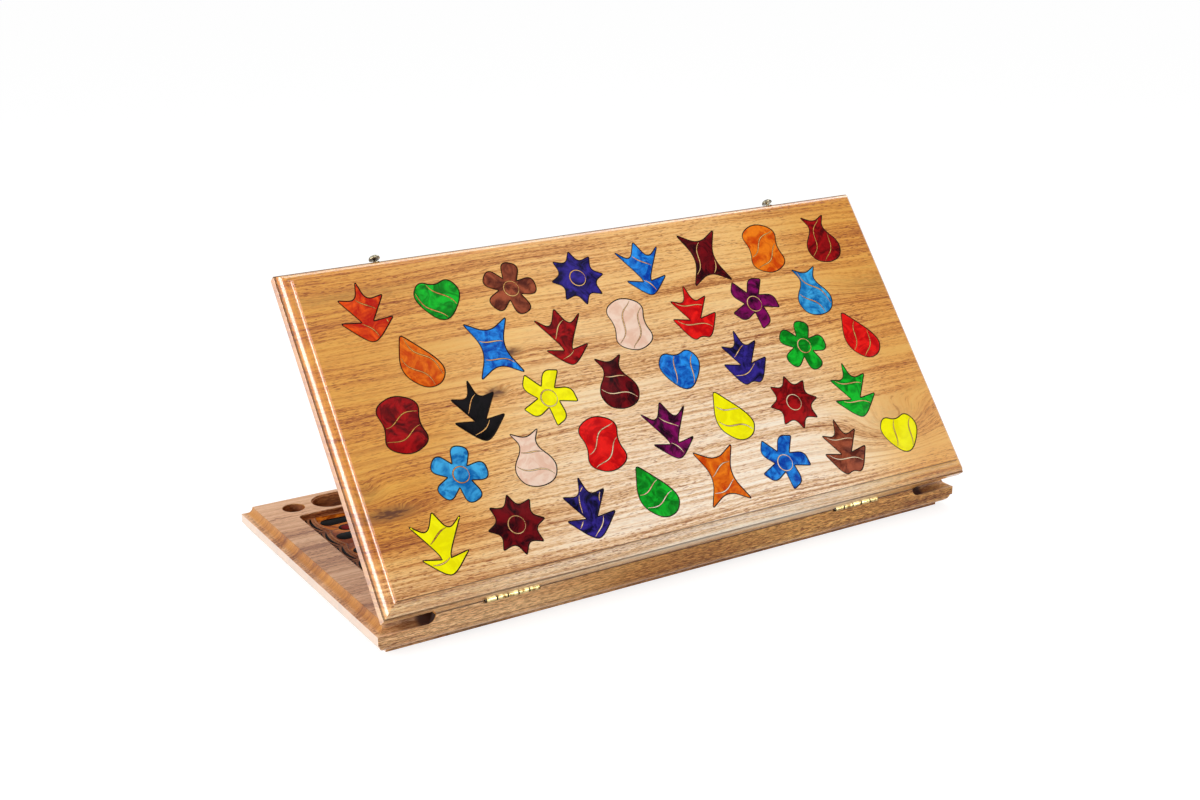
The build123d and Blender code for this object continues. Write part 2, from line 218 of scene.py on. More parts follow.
# Tones of the wood, dark to pale, and what they are multiplied by or mixed with
HONEY = (srgb(168, 112, 66), srgb(226, 184, 138), srgb(252, 230, 204), srgb(255, 244, 228))
ROSE = (srgb(150, 92, 58), srgb(204, 148, 104), srgb(226, 174, 130), srgb(240, 194, 154))
TONE_STOPS = (0.38, 0.45, 0.52, 0.6)
GILDING = ((0.0, (1, 1, 1)), (0.6, (0.9, 0.72, 0.44)), (0.8, (0.87, 0.6, 0.24)), (1.0, (0.74, 0.41, 0.07)))
LATE_WOOD = (0.68, 0.47, 0.28)
KNOT_HALO = (0.33, 0.13, 0.02)
KNOT_CORE = (0.085, 0.018, 0.001)
MOULDED = {"base": (0.88, 0.84, 0.66), "lid": (1.1, 1.08, 1.0)}
# Painted light and shade along the lower half's hinge side, as multipliers at the left, middle and right
HINGE_SIDE_LIGHT = {"left": (1.26, 1.44, 1.6), "middle": (0.87, 0.77, 0.44), "right": (1.3, 1.38, 0.95)}
SPECK_TONES = ((0.52, 0.43, 0.33), (1.3, 1.32, 1.3))
SPECKLE = {"base": 0.8, "lid": 0.3}
END_GRAIN = {"base": (0.68, 0.48, 0.13), "lid": (0.92, 0.72, 0.44)}
# Painted light that makes the strip on the ends pale, and how much of it on each half
STRIP_LIGHT = (0.95, 0.82, 0.72)
STRIP_LIGHT_SHARE = {"base": 0.7, "lid": 0.2}
# Painted shade that darkens the hollows of the mating face, and the deep ones more
POCKET_SHADE = (0.56, 0.37, 0.25)
DEEP_POCKET_SHADE = (0.33, 0.18, 0.1)
# Painted shade in the quirk, along the joint on the hinge side and at the foot of the rim step
LINE_SHADE = (0.07, 0.025, 0.01)
# Painted shade in the stopped ends of the lower half's hinge-side coves, the half and the full one
COVE_STOP_HALF_SHADE = (0.17, 0.055, 0.008)
COVE_STOP_DEEP_SHADE = (0.04, 0.009, 0.001)

# Varnish: weight of its coat on the mouldings and on the flat faces, and the wood below it
GLOSS = {"base": 0.2, "lid": 0.9}
FLAT_GLOSS = 0.08
WOOD_SPECULAR = 0.18
WOOD_ROUGHNESS = 0.38
COAT_ROUGHNESS = 0.07

# Knots as (x, y, half length, half width, darkness, swirl), in metres
LID_KNOTS = [
    (-0.122, 0.045, 0.011, 0.004, 0.9, 0.004), (-0.148, 0.012, 0.010, 0.005, 0.9, 0.006),
    (-0.272, -0.07, 0.022, 0.006, 0.95, 0.009), (-0.236, 0.096, 0.008, 0.005, 0.3, 0.004),
    (-0.245, 0.118, 0.07, 0.007, 0.22, 0.0), (-0.285, -0.05, 0.012, 0.010, 0.25, 0.006),
    (0.236, -0.092, 0.050, 0.022, 0.1, 0.03), (0.29, 0.05, 0.06, 0.012, 0.2, 0.014),
]
BASE_KNOTS = [(-0.21, -0.14, 0.03, 0.008, 0.4, 0.005)]


class Plank(Shader):
    """Varnished wood of one half with its grain along X, drawn in the closed board's coordinates."""

    def __init__(self, name, body, seed, knots):
        super().__init__(name)
        self.body = body
        self.seed = seed
        self.x, self.y, self.z = self.split(half_coordinates(self, body))
        self.mark_faces()
        self.lay_grain(knots)

    def mark_faces(self):
        """Masks of the flat outer and mating faces, of the two ends, and of the mouldings between."""
        up = PLACES[self.body].to_3x3() @ Vector((0, 0, 1))
        upright = self.add("ShaderNodeVectorMath", {0: self.normal(), 1: up}, operation="DOT_PRODUCT")
        self.flat = self.step(self.size(upright.outputs["Value"]), 0.97, 0.998)
        self.ends = self.step(self.size(self.split(self.normal())[0]), 0.2, 0.7)
        self.moulded = self.minus(1.0, self.most(self.flat, self.ends))

    def stretched(self, y, cycles):
        """Place in cycles of a noise. y may be the distance across the grain."""
        return self.vector(*map(self.times, (self.x, y, self.z), cycles))

    def grain_noise(self, cycles, across, detail, shift=0.0):
        along = self.times(self.x, cycles[0])
        return self.noise(self.vector(along, self.times(across, cycles[1]), self.seed + shift), detail)

    def lay_grain(self, knots):
        """Distance across the grain, which runs round the knots, and the knots' masks."""
        sway = self.grain_noise(SWAY, self.y, 2.0)
        ragged_noise = self.grain_noise(KNOT_EDGE, self.y, 3.0)
        self.across = self.total(self.y, self.times(self.z, 0.45), self.times(sway, 0.03))
        self.core = self.halo = 0.0
        for x, y, length, width, darkness, swirl in knots:
            along = self.math("DIVIDE", self.minus(self.x, x), length)
            aside = self.math("DIVIDE", self.minus(self.y, y), width)
            reach = self.total(self.times(along, along), self.times(aside, aside))
            bulge = self.math("EXPONENT", self.times(reach, -1.0))
            ragged = self.total(bulge, self.times(self.minus(ragged_noise, 0.5), 1.8))
            self.across = self.total(self.across, self.times(bulge, swirl))
            self.core = self.most(self.times(self.step(ragged, 0.45, 1.05), darkness), self.core)
            self.halo = self.most(self.times(self.step(bulge, 0.0, 0.6), darkness), self.halo)

    def grained(self, tones, gold):
        """Colour of the plain wood: bands, streaks, fibres, golden parts, growth lines, pores and knots."""
        x, across = self.x, self.across
        tubes = self.vector(self.times(x, FIBRE_STRETCH), across, self.z)
        bands = self.grain_noise(BANDS, across, 3.0)
        self.streaks = self.noise(self.stretched(across, STREAKS), 3.0, 0.6)
        fibres = self.noise(tubes, 2.0, 0.6, FIBRES)
        tone = self.total(self.times(bands, 0.34), self.times(self.streaks, 0.4), self.times(fibres, 0.26))
        colour = self.ramp(tone, *zip(TONE_STOPS, tones))
        if gold:
            drift = self.minus(self.grain_noise(GOLD_DRIFT, across, 2.0, 5.0), 0.5)
            colour = self.tint(1.0, colour, self.ramp(gold(self, drift), *GILDING))
        ring = self.total(self.times(across, RINGS), self.times(bands, 3.2))
        kept = self.step(self.grain_noise(RING_FADING, self.y, 2.0), 0.35, 0.65)
        late = self.times(self.step(self.math("FRACT", ring), 0.55, 1.0), kept)
        colour = self.tint(self.times(late, 0.6), colour, LATE_WOOD)
        self.pores = self.open_pores(tubes, bands)
        colour = self.tint(self.times(self.pores, 0.85), colour, tones[0])
        colour = self.mix(self.times(self.halo, 0.75), colour, KNOT_HALO)
        return self.mix(self.core, colour, KNOT_CORE)

    def open_pores(self, tubes, bands):
        """1 in the pores, more of them on the mouldings and few on the ends."""
        depth = self.total(self.noise(tubes, 1.0, 0.5, PORES), self.times(self.moulded, 0.04))
        on_ends = self.minus(1.0, self.times(self.ends, 0.75))
        return self.times(self.step(depth, 0.58, 0.67), self.step(bands, 0.72, 0.4), on_ends)

    def shaped(self, colour):
        """Tints of the mouldings, which the cutter leaves speckled, and of the ends, with painted light that
        makes the strip on the ends pale.
        """
        colour = self.tint(self.times(self.moulded, 0.8), colour, MOULDED[self.body])
        if self.body == "base":
            colour = self.lit_hinge_side(colour)
        specks = self.noise(self.stretched(self.y, SPECKS), 3.0, 0.7)
        speckled = self.mix(self.step(specks, 0.38, 0.6), *SPECK_TONES)
        colour = self.tint(self.times(self.moulded, SPECKLE[self.body]), colour, speckled)
        colour = self.tint(self.ends, colour, END_GRAIN[self.body])
        # Painted light: the strip below the cove or quirk on the ends mixed towards a pale tone
        lit_strip = self.times(self.ends, self.mating_strip(), STRIP_LIGHT_SHARE[self.body])
        return self.mix(lit_strip, colour, STRIP_LIGHT)

    def lit_hinge_side(self, colour):
        """Lower half's hinge side with painted light and shade: pale at the left, golden in the middle,
        lighter again at the right.
        """
        left = self.step(self.x, -0.05, -0.22)
        right = self.step(self.x, 0.0, 0.15)
        shade = self.mix(right, self.mix(left, HINGE_SIDE_LIGHT["middle"], HINGE_SIDE_LIGHT["left"]), HINGE_SIDE_LIGHT["right"])
        side = self.below(self.y, -HALF_WIDTH + 9 * MM, 3 * MM)
        return self.mix(side, colour, self.tint(1.0, colour, shade))

    def mating_strip(self):
        """1 on the ends below the base's cove, or below the lid's quirk."""
        return self.below(self.z, STRIP_EDGE[self.body])

    def pockets(self):
        """Masks of all hollows in the mating face, and of the deep ones: channels and dice holes, for painted
        shade.
        """
        depth = self.size(self.minus(self.z, MATING_FACE[self.body]))
        within = self.times(self.below(self.size(self.x), HALF_LENGTH - 13 * MM),
                            self.below(self.size(self.y), HALF_WIDTH - 13 * MM))
        every = self.times(within, self.between(depth, 1.5 * MM, THICKNESS - 3 * MM))
        deep = self.times(within, self.between(depth, 8 * MM, THICKNESS - 7 * MM, 4 * MM))
        return every, deep

    def quirk(self):
        """1 in the narrow groove round the half and just below it on the free side, where shade is painted.
        """
        level = QUIRK_MIDDLE[self.body]
        beside = self.most(self.beyond(self.size(self.x), HALF_LENGTH - 2 * MM),
                           self.beyond(self.size(self.y), HALF_WIDTH - 2 * MM))
        groove = self.times(beside, self.between(self.z, level - 0.45 * MM, level + 0.45 * MM, 0.15 * MM))
        below = self.times(self.beyond(self.y, HALF_WIDTH - 1 * MM),
                           self.between(self.z, level - 1.2 * MM, level, 0.2 * MM))
        return self.most(groove, below)

    def hinge_line(self):
        """1 along the two edges that meet on the hinge side."""
        edges = self.between(self.z, THICKNESS - 0.5 * MM, THICKNESS + CLOSED_GAP + 0.5 * MM, 0.3 * MM)
        return self.times(self.below(self.y, -HALF_WIDTH + 0.4 * MM, 0.8 * MM), edges)

    def rim_line(self):
        """1 at the foot of the step round the lid's face, on the hinge side."""
        foot = LID_TOP - 2 * MM
        beside = self.between(self.y, -HALF_WIDTH + 10.2 * MM, -HALF_WIDTH + 11 * MM, 0.2 * MM)
        return self.times(beside, self.beyond(self.z, foot, 0.6 * MM))

    def cove_stop_shade(self):
        """1 at the stopped ends of the lower half's hinge-side coves, where shade is painted, less before
        that.
        """
        along = self.minus(self.size(self.x), COVE_STOP)
        deepest = self.between(along, -9 * MM, 0, 16 * MM)
        fading = self.times(self.between(along, -9 * MM, 14 * MM, 30 * MM), 0.45)
        cove = self.between(self.y, -HALF_WIDTH + 1.2 * MM, -HALF_WIDTH + 8 * MM)
        upright = self.between(self.z, THICKNESS - 16 * MM, THICKNESS - 1.5 * MM, 0.5 * MM)
        return self.times(self.most(deepest, fading), cove, upright)

    # Painted shade lines: the quirk, the joint on the hinge side and, on the lid, the foot of the rim step
    def shade_lines(self):
        lines = self.most(self.quirk(), self.hinge_line())
        return self.most(lines, self.rim_line()) if self.body == "lid" else lines

    def varnish(self, line_shade, stop_shade, pocket):
        """Relief, roughness and coat, with no coat in hollows, in the painted shade lines or in the painted
        shade of the cove stops.
        """
        furrows = self.times(self.streaks, 0.4, self.minus(1.0, self.ends))
        self.bump(self.total(self.times(self.pores, -0.6), furrows), 0.1 * MM, 0.5)
        rough = self.total(WOOD_ROUGHNESS, self.times(self.pores, 0.2), self.times(stop_shade, 0.4),
                           self.times(pocket, 0.32))
        gloss = self.total(GLOSS[self.body], self.times(self.flat, FLAT_GLOSS - GLOSS[self.body]))
        coat = self.times(gloss, self.minus(1.0, self.most(line_shade, stop_shade, pocket)))
        return {"Roughness": rough, "Specular_IOR_Level": WOOD_SPECULAR, "Coat_Weight": coat,
                "Coat_Roughness": COAT_ROUGHNESS}


def wood(name, body, seed, tones, knots, gold=None):
    """Wood of one half. gold says where it is golden."""
    plank = Plank(name, body, seed, knots)
    colour = plank.shaped(plank.grained(tones, gold))
    pocket, deep = plank.pockets()
    # Painted shade in the hollows, darkest in the channels and dice holes
    pocket_shade = plank.mix(deep, plank.mix(pocket, (1, 1, 1), POCKET_SHADE), DEEP_POCKET_SHADE)
    colour = plank.tint(1.0, colour, pocket_shade)
    # Painted shade darkens these lines
    line_shade = plank.shade_lines()
    colour = plank.mix(plank.times(line_shade, 0.75), colour, LINE_SHADE)
    # Painted shade in the stopped cove ends: brown towards them, near black at the ends
    stop_shade = plank.cove_stop_shade()
    colour = plank.mix(plank.step(stop_shade, 0.0, 0.5), colour, plank.mix(0.7, colour, COVE_STOP_HALF_SHADE))
    colour = plank.mix(plank.step(stop_shade, 0.3, 0.9), colour, COVE_STOP_DEEP_SHADE)
    return plank.finish(Base_Color=colour, **plank.varnish(line_shade, stop_shade, pocket))


def lid_gold(plank, drift):
    """0 in the pale zone beside the hinges, a painted sheen of reflected light, 1 in the golden wood of the
    ends.
    """
    to_latches = plank.step(plank.total(plank.y, plank.times(drift, 0.08)), -0.13, 0.1)
    to_latches = plank.times(to_latches, 0.76)
    left = plank.step(plank.total(plank.x, plank.times(drift, 0.1)), -0.02, -0.26)
    left = plank.times(left, plank.total(0.55, plank.times(plank.step(plank.y, -0.145, -0.085), 0.45)))
    right = plank.times(plank.step(plank.x, 0.1, 0.27), 0.92)
    return plank.total(to_latches, plank.times(plank.most(left, right), plank.minus(1.0, to_latches)))


# Resin and metal: flecks to drifts in size, brushing in cycles per metre, painted shade in the hinges' gaps
FLECK_SCALE = 9
BRUSHING = (300, 4000, 4000)
KNUCKLE_GAP_SHADE = (0.03, 0.022, 0.01)


def resin(name, body, deep, bright, veil=0.5, scale=60.0, gloss=0.03):
    """Cast resin: pigment drifts between a deep and a bright tone, with flecks."""
    shader = Shader(name)
    place = half_coordinates(shader, body)
    drift = shader.noise(place, 3.0, 0.6, scale, 1.6)
    flecks = shader.noise(place, 2.0, 0.5, scale * FLECK_SCALE)
    cloud = shader.step(drift, 0.5 - 0.16 * veil, 0.5 + 0.16 * veil)
    cloud = shader.total(shader.times(cloud, 0.85), shader.times(shader.step(flecks, 0.4, 0.75), 0.15))
    colour = shader.mix(cloud, srgb(*deep), srgb(*bright))
    shader.bump(drift, 0.1 * MM, 0.1)
    return shader.finish(Base_Color=colour, Roughness=0.2, Specular_IOR_Level=gloss, Coat_Weight=0.4 * gloss,
                         Coat_Roughness=0.03)


def knuckle_gaps(shader, place):
    """1 in the gaps between the knuckles of the hinges, where shade is painted."""
    x, y, _ = shader.split(place)
    turn = shader.math("DIVIDE", shader.minus(shader.size(x), HINGE_X), KNUCKLE_PITCH)
    beside = shader.minus(shader.math("FRACT", shader.total(turn, 0.5)), 0.5)
    on_barrel = shader.below(y, -HALF_WIDTH + 2.5 * MM)
    return shader.times(shader.step(shader.size(beside), 0.41, 0.45), on_barrel)


def metal(name, body, colour, tarnish, roughness, stained=0.45, hinge=False):
    """Plated or solid metal with faint brushing and darker tarnish, and painted shade in a hinge's gaps."""
    shader = Shader(name)
    place = half_coordinates(shader, body)
    stains = shader.noise(place, 4.0, 0.6, 260.0)
    brushed = shader.add("ShaderNodeMapping", {"Vector": place, "Scale": BRUSHING})
    lines = shader.noise(brushed.outputs[0])
    mixed = shader.mix(shader.step(stains, stained, stained + 0.25), colour, tarnish)
    if hinge:
        between_knuckles = shader.step(shader.size(shader.split(shader.normal())[0]), 0.25, 0.6)
        # Painted shade between the knuckles
        mixed = shader.mix(shader.most(between_knuckles, knuckle_gaps(shader, place)), mixed, KNUCKLE_GAP_SHADE)
    shader.bump(lines, 0.02 * MM, 0.4)
    rough = shader.total(roughness, shader.times(stains, 0.14))
    return shader.finish(Base_Color=mixed, Metallic=1.0, Roughness=rough)


def char_and_slot_shade(name, body):
    """Burnt edge of a carved groove, its near-black also used as painted shade in the screw slots."""
    shader = Shader(name)
    soot = shader.noise(half_coordinates(shader, body), 3.0, 0.6, 900.0)
    colour = shader.mix(shader.step(soot, 0.35, 0.7), srgb(8, 4, 3), srgb(40, 20, 12))
    return shader.finish(Base_Color=colour, Roughness=0.6, Specular_IOR_Level=0.03)


BRASS = (srgb(214, 198, 142), srgb(120, 92, 46))
LATCH_PLATING = (srgb(176, 168, 142), srgb(34, 27, 24))
STEEL = (srgb(170, 164, 150), srgb(90, 80, 66))
MATERIALS = {
    "lid_wood": wood("lid_wood", "lid", 3.1, HONEY, LID_KNOTS, lid_gold),
    "base_wood": wood("base_wood", "base", 7.7, ROSE, BASE_KNOTS),
    "hinge_brass": {
        body: metal(f"hinge_brass_{body}", body, *BRASS, 0.2, 0.4, hinge=True) for body in PLACES
    },
    "latch_metal": metal("latch_metal", "base", *LATCH_PLATING, 0.16, 0.36),
    "pin_steel": metal("pin_steel", "base", *STEEL, 0.25),
    "char_and_slot_shade": {body: char_and_slot_shade(f"scorched_{body}", body) for body in PLACES},
}

# Resins as (deep tone, bright tone, how far the two run into each other), tones in sRGB
RESINS = {
    "black": ((2, 2, 3), (14, 9, 14), 0.5),
    "blue": ((0, 52, 160), (44, 156, 246), 1.0),
    "brown": ((78, 26, 16), (170, 84, 54), 1.0),
    "cyan": ((4, 96, 170), (70, 180, 236), 1.0),
    "dark_red": ((78, 0, 4), (178, 16, 20), 1.0),
    "green": ((0, 108, 18), (20, 196, 46), 0.9),
    "indigo": ((5, 3, 26), (56, 42, 150), 1.0),
    "maroon": ((30, 0, 6), (122, 10, 20), 1.0),
    "orange": ((200, 60, 2), (244, 132, 24), 1.0),
    "pink": ((234, 190, 164), (246, 218, 198), 0.8),
    "purple": ((14, 0, 10), (138, 10, 98), 1.0),
    "red": ((186, 0, 8), (242, 28, 22), 0.9),
    "red_orange": ((184, 18, 4), (240, 88, 16), 1.0),
    "yellow": ((240, 230, 0), (254, 248, 8), 0.8),
}
SPEAR_TONES = ((4, 2, 2), (18, 8, 6), 0.5)
PETAL_TONES = ((70, 4, 4), (140, 14, 10), 0.7)
AMBER_TONES = ((132, 52, 6), (216, 120, 30), 0.8)
AMBER = {body: resin(f"amber_{body}", body, *AMBER_TONES, scale=40.0) for body in PLACES}


# Mesh helpers, with angles in degrees

SAME_POINT = 0.002 * MM
WELD_REACH = 0.004 * MM
LEVEL_SLACK = 0.02 * MM
FLAT_FACE = 0.6
BEVEL_ABOVE = 35
SHARP_CAD_EDGE = 32
SHARP_INLAY_EDGE = 40
SHARP_TURNED_EDGE = 28
TURNED_SIDES = 40
SCREW_SIDES = 28
LONGEST_MITRE = 1.6
SHARPEST_MITRE = 0.3


def placed(name, data):
    """Object of a mesh, lamp or camera, put in the scene."""
    thing = bpy.data.objects.new(name, data)
    bpy.context.scene.collection.objects.link(thing)
    return thing


def outward_faces(mesh, reach=0.0):
    """Turns the faces outwards, after joining points closer than a reach."""
    solid = bmesh.new()
    solid.from_mesh(mesh)
    if reach:
        bmesh.ops.remove_doubles(solid, verts=solid.verts, dist=reach)
    bmesh.ops.recalc_face_normals(solid, faces=solid.faces)
    solid.to_mesh(mesh)
    solid.free()


def smoothed(mesh, sharp):
    """Smooth shading, broken at edges that turn by more than an angle."""
    mesh.shade_smooth()
    mesh.set_sharp_from_angle(angle=math.radians(sharp))


def dress(name, mesh, body, material):
    """Object of a mesh in one material, which rides on a body."""
    outward_faces(mesh)
    mesh.materials.clear()
    mesh.materials.append(material)
    piece = placed(name, mesh)
    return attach(piece, body)


def weld(name, body, material, parts, place, sharp=SHARP_INLAY_EDGE):
    """One piece from several (vertices, faces) parts, moved to its place."""
    vertices, faces = [], []
    for part_vertices, part_faces in parts:
        first = len(vertices)
        vertices += part_vertices
        faces += [tuple(first + i for i in face) for face in part_faces]
    mesh = bpy.data.meshes.new(name)
    mesh.from_pydata([place @ Vector(v) for v in vertices], [], faces)
    piece = dress(name, mesh, body, material)
    outward_faces(piece.data, WELD_REACH)
    smoothed(piece.data, sharp)
    return piece


def soften(piece, width):
    """Rounds the sharp edges and keeps flat faces flat."""
    bevel = piece.modifiers.new("soft_edges", "BEVEL")
    bevel.width = width
    bevel.segments = 2
    bevel.limit_method = "ANGLE"
    bevel.angle_limit = math.radians(BEVEL_ABOVE)
    bevel.use_clamp_overlap = False
    weight = piece.modifiers.new("flat_faces", "WEIGHTED_NORMAL")
    weight.keep_sharp = True
    graph = bpy.context.evaluated_depsgraph_get()
    mesh = bpy.data.meshes.new_from_object(piece.evaluated_get(graph))
    piece.modifiers.clear()
    piece.data = mesh


def cad_solid(node):
    """The CAD node's mesh with its points joined."""
    solid = bmesh.new()
    solid.from_mesh(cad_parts[node].data)
    bmesh.ops.remove_doubles(solid, verts=solid.verts, dist=SAME_POINT)
    return solid


def joined_triangles(node):
    """The CAD node's mesh with its flat faces whole again."""
    solid = cad_solid(node)
    limit = math.radians(FLAT_FACE)
    bmesh.ops.dissolve_limit(solid, angle_limit=limit, verts=solid.verts, edges=solid.edges)
    return solid


def refined(node, body, material, edge, solid=None):
    """CAD node, or a solid made from it, with softened edges and shown in its place."""
    solid = joined_triangles(node) if solid is None else solid
    mesh = bpy.data.meshes.new(node)
    solid.to_mesh(mesh)
    solid.free()
    piece = dress(f"{node}_piece", mesh, body, material)
    smoothed(piece.data, SHARP_CAD_EDGE)
    soften(piece, edge)
    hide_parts(node)


def inside(point, boxes):
    """Even-odd test of a point against closed outlines, given with their boxes."""
    hits = 0
    x, y = point
    for low_x, low_y, high_x, high_y, loop in boxes:
        if not (low_x <= x <= high_x and low_y <= y <= high_y):
            continue
        for (x0, y0), (x1, y1) in zip(loop, loop[1:] + loop[:1]):
            if (y0 > y) != (y1 > y) and x < (x1 - x0) * (y - y0) / (y1 - y0) + x0:
                hits += 1
    return hits % 2 == 1


def boxed(loops):
    """Outlines with their lowest and highest corners, for inside()."""
    boxes = []
    for loop in loops:
        xs, ys = zip(*loop)
        boxes.append((min(xs), min(ys), max(xs), max(ys), loop))
    return boxes


def filled(loops):
    """Points and triangles that fill closed outlines, holes left open."""
    points, edges = [], []
    for loop in loops:
        first, count = len(points), len(loop)
        points += [Vector(p) for p in loop]
        edges += [(first + i, first + (i + 1) % count) for i in range(count)]
    within_outlines, closest = 1, 1e-9
    points, _, triangles, *_ = delaunay_2d_cdt(points, edges, [], within_outlines, closest)
    boxes = boxed(loops)
    kept = []
    for triangle in triangles:
        middle = sum((points[i] for i in triangle), Vector((0, 0))) / 3
        if inside(middle, boxes):
            kept.append(tuple(triangle))
    return [tuple(p) for p in points], kept


def corners_of(loop):
    """Each point of a closed outline between its neighbours."""
    return zip(loop[-1:] + loop[:-1], loop, loop[1:] + loop[:1])


def counterclockwise(loop):
    area = sum(a[0] * b[1] - b[0] * a[1] for a, b in zip(loop, loop[1:] + loop[:1])) / 2
    return loop if area > 0 else loop[::-1]


def moved_in(loop, distance):
    """Outline moved to its left side, which is inwards for a counterclockwise one."""
    result = []
    for before, here, after in corners_of(loop):
        first = Vector((here[0] - before[0], here[1] - before[1])).normalized()
        second = Vector((after[0] - here[0], after[1] - here[1])).normalized()
        normal = Vector((-first.y - second.y, first.x + second.x))
        if normal.length < 1e-6:
            normal = Vector((-first.y, first.x))
        normal.normalize()
        slope = max(SHARPEST_MITRE, normal.dot(Vector((-first.y, first.x))))
        stretch = min(LONGEST_MITRE, 1 / slope)
        result.append((here[0] + normal.x * distance * stretch, here[1] + normal.y * distance * stretch))
    return result


def ring_faces(low, high, count):
    """Faces between two closed rings of points, given by the rings' first points."""
    return [(low + i, low + (i + 1) % count, high + (i + 1) % count, high + i) for i in range(count)]


def slab(loop, levels):
    """Low relief over an outline, from (inset, z) rings. The last one is filled."""
    count = len(loop)
    vertices, faces = [], []
    for inset, z in levels:
        ring = moved_in(loop, inset)
        if vertices:
            faces += ring_faces(len(vertices) - count, len(vertices), count)
        vertices += [(x, y, z) for x, y in ring]
    top = levels[-1][1]
    points, triangles = filled([ring])
    first = len(vertices)
    vertices += [(x, y, top) for x, y in points]
    faces += [tuple(first + i for i in triangle) for triangle in triangles]
    return vertices, faces


def ribbon(points, width, z):
    """Flat line through points that narrows to both ends."""
    vertices, faces = [], []
    last = len(points) - 1
    for i, point in enumerate(points):
        ahead = Vector(points[min(i + 1, last)]) - Vector(points[max(i - 1, 0)])
        share = 0.35 + 0.65 * math.sin(math.pi * i / last)
        side = Vector((-ahead.y, ahead.x)).normalized() * width / 2 * share
        vertices += [(point[0] - side.x, point[1] - side.y, z), (point[0] + side.x, point[1] + side.y, z)]
    for i in range(last):
        faces.append((2 * i, 2 * i + 2, 2 * i + 3, 2 * i + 1))
    return vertices, faces


def lathe(profile, sides=TURNED_SIDES):
    """Turned body about the Z axis from (radius, z) points."""
    vertices, faces = [], []
    for radius, z in profile:
        for i in range(sides):
            angle = 2 * math.pi * i / sides
            vertices.append((radius * math.cos(angle), radius * math.sin(angle), z))
    for ring in range(len(profile) - 1):
        faces += ring_faces(ring * sides, (ring + 1) * sides, sides)
    return vertices, faces


def at(part, matrix):
    """Part moved by a matrix."""
    vertices, faces = part
    return [tuple(matrix @ Vector(v)) for v in vertices], faces


# Halves of the case

OUTER_FACE = (HALF_LENGTH - RIM_INSET, HALF_WIDTH - RIM_INSET)
WOOD_EDGE = 0.3 * MM
INLAY_BOTTOM = 1.5 * MM
RESIN_BOTTOM = 2 * MM


def closed_pockets(solid, low, level, x_reach, y_low, y_high):
    """Closes the pockets of a flat face inside a rectangle, with one face at its level."""
    deep, shallow = min(low, level) - LEVEL_SLACK, max(low, level) + LEVEL_SLACK
    doomed = []
    for face in solid.faces:
        corners = [v.co for v in face.verts]
        flush = all(abs(c.z - level) < LEVEL_SLACK for c in corners)
        margin = LEVEL_SLACK if flush else -1 * MM
        x_most, y_least, y_most = x_reach + margin, y_low - margin, y_high + margin
        if all(deep <= c.z <= shallow and abs(c.x) <= x_most and y_least <= c.y <= y_most for c in corners):
            doomed.append(face)
    bmesh.ops.delete(solid, geom=doomed, context="FACES")
    open_edges = [e for e in solid.edges if e.is_boundary]
    rim = [e for e in open_edges if all(abs(v.co.z - level) < LEVEL_SLACK for v in e.verts)]
    return bmesh.ops.contextual_create(solid, geom=rim)["faces"]


def board(node, body):
    """One half with its pockets closed, for finer inlays."""
    solid = joined_triangles(node)
    solid.transform(PLACES[body].inverted())
    low, level = -FIELD_DEPTH - INLAY_BOTTOM, -FIELD_DEPTH
    field_top = FIELD_HINGE_WALL + POINTS_PER_END * POINT_PITCH
    closed_pockets(solid, low, level, FIELD_END_WALL, FIELD_HINGE_WALL, field_top)
    if body == "lid":
        x, y = OUTER_FACE
        face = closed_pockets(solid, -THICKNESS + RESIN_BOTTOM, -THICKNESS, x, -y, y)
        bmesh.ops.delete(solid, geom=face, context="FACES_ONLY")
    loose = [v for v in solid.verts if not v.link_faces]
    bmesh.ops.delete(solid, geom=loose, context="VERTS")
    solid.transform(PLACES[body])
    refined(node, body, MATERIALS[f"{body}_wood"], WOOD_EDGE, solid)


# Inlays of the lid, with angles in degrees

STRAIGHT = 1
SHARP_TIP = 75
TIP_CURVE = (0.1, 3)
CORNER_CURVE = (0.47, 7)
RESIN_LEVELS = ((0.2 * MM, 0.5 * MM), (0.3 * MM, 0.12 * MM), (0.6 * MM, 0.03 * MM), (0.9 * MM, 0))
BURNT_WIDTH = 0.75 * MM
BURNT_DEPTH = 0.35 * MM
ROUND_MOTIF_CORNERS = 15
VEIN_WIDTH = 0.8 * MM
VEIN_EDGE = 0.7 * MM
VEIN_MARGIN = 0.8 * MM
VEIN_LEVEL = -THICKNESS - 0.02 * MM
VEIN_EDGE_LEVEL = -THICKNESS - 0.01 * MM
VEIN_SLANTS = (38, -24, 62, -52, 16)
VEIN_OFFSETS = (-0.5, 0.3)
VEIN_RING = 0.3
VEIN_RING_STEPS = 48
SHORTEST_VEIN = 6


def top_outlines(node):
    """Closed outlines of a lid inlay node's outer faces, face up."""
    solid = cad_solid(node)
    solid.transform(PLACES["lid"].inverted())
    on_top = {f for f in solid.faces if all(abs(v.co.z + THICKNESS) < LEVEL_SLACK for v in f.verts)}
    follow = {}
    for edge in solid.edges:
        if sum(f in on_top for f in edge.link_faces) == 1:
            for vertex in edge.verts:
                follow.setdefault(vertex, []).append(edge.other_vert(vertex))
    loops = []
    while follow:
        start = min(follow, key=lambda v: (round(v.co.x, 6), round(v.co.y, 6)))
        loop, here = [], start
        while here in follow:
            loop.append((here.co.x, here.co.y))
            here = next((v for v in follow.pop(here) if v in follow), start)
        loops.append(loop)
    solid.free()
    return [drop_straight(loop) for loop in loops]


def drop_straight(loop):
    """Corners only, counterclockwise."""
    corners = []
    for before, here, after in corners_of(loop):
        first = Vector(here) - Vector(before)
        second = Vector(after) - Vector(here)
        if abs(first.angle_signed(second, 0)) > math.radians(STRAIGHT):
            corners.append(here)
    return counterclockwise(corners)


